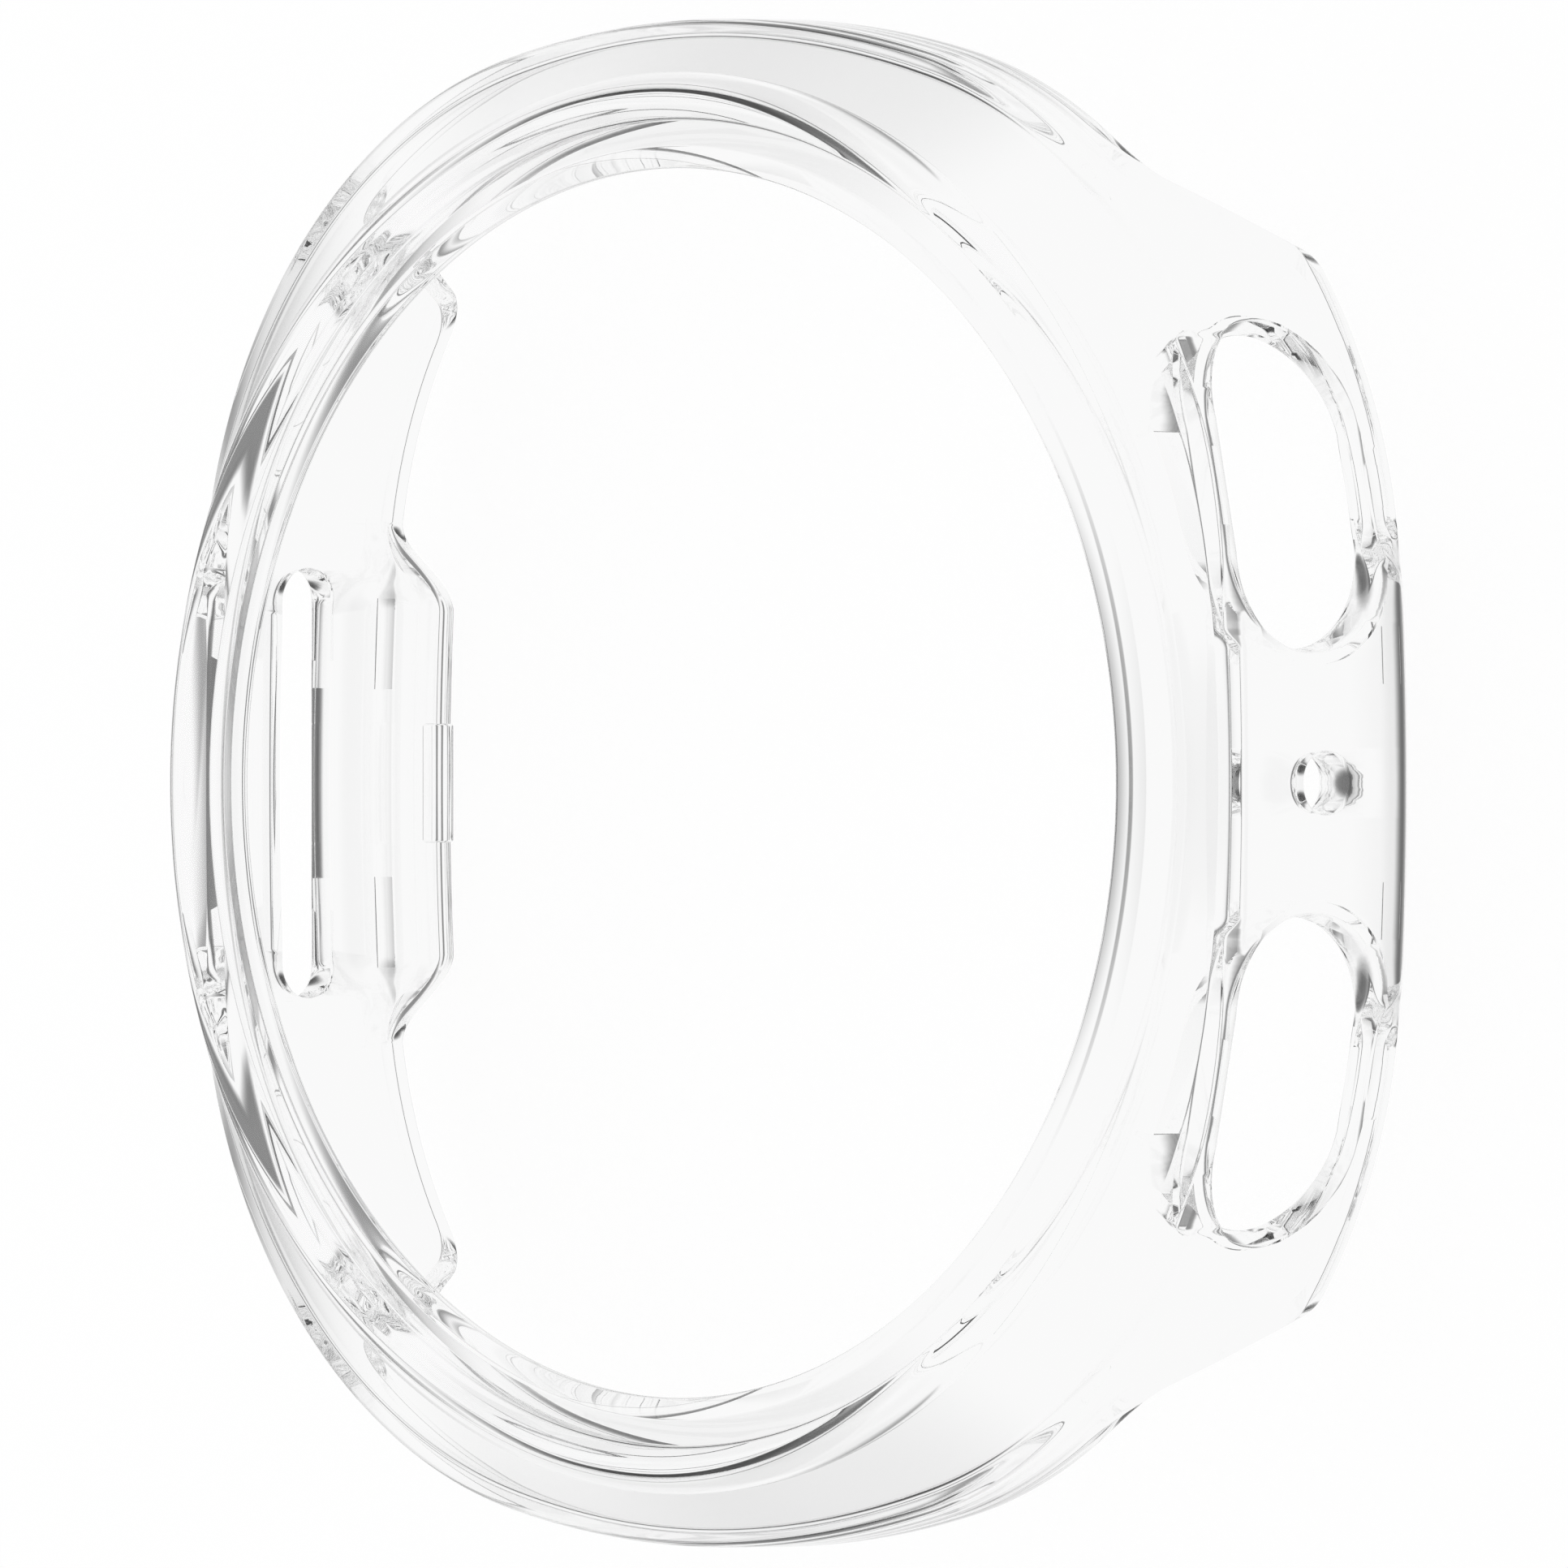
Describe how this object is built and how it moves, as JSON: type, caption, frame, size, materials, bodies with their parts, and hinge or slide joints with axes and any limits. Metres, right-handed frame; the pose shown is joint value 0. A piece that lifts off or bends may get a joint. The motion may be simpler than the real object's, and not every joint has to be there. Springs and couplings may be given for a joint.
{
  "type": "smartwatch bumper case",
  "caption": "Clear hard-plastic bumper that snaps over a round-faced smartwatch, open at the display, at the straps and at the side buttons",
  "frame": {"origin": "on the display opening's axis at the level of the backs of the two catches, which is where the case stands face up", "axes": "+Z is the way the display faces, +X points to the side with the two button windows (3 o'clock), +Y points to 12 o'clock"},
  "size_m": [0.0466, 0.0484, 0.0114],
  "materials": {
    "clear_plastic": "water-clear polished polycarbonate, smooth on every face"
  },
  "bodies": {
    "root": {"bezel_ring": "clear_plastic", "upper_skirt": "clear_plastic", "lower_skirt": "clear_plastic", "speaker_side_wall": "clear_plastic", "button_side_wall": "clear_plastic", "button_guard": "clear_plastic", "speaker_side_catch": "clear_plastic", "button_side_catch": "clear_plastic"}
  },
  "joints": []
}
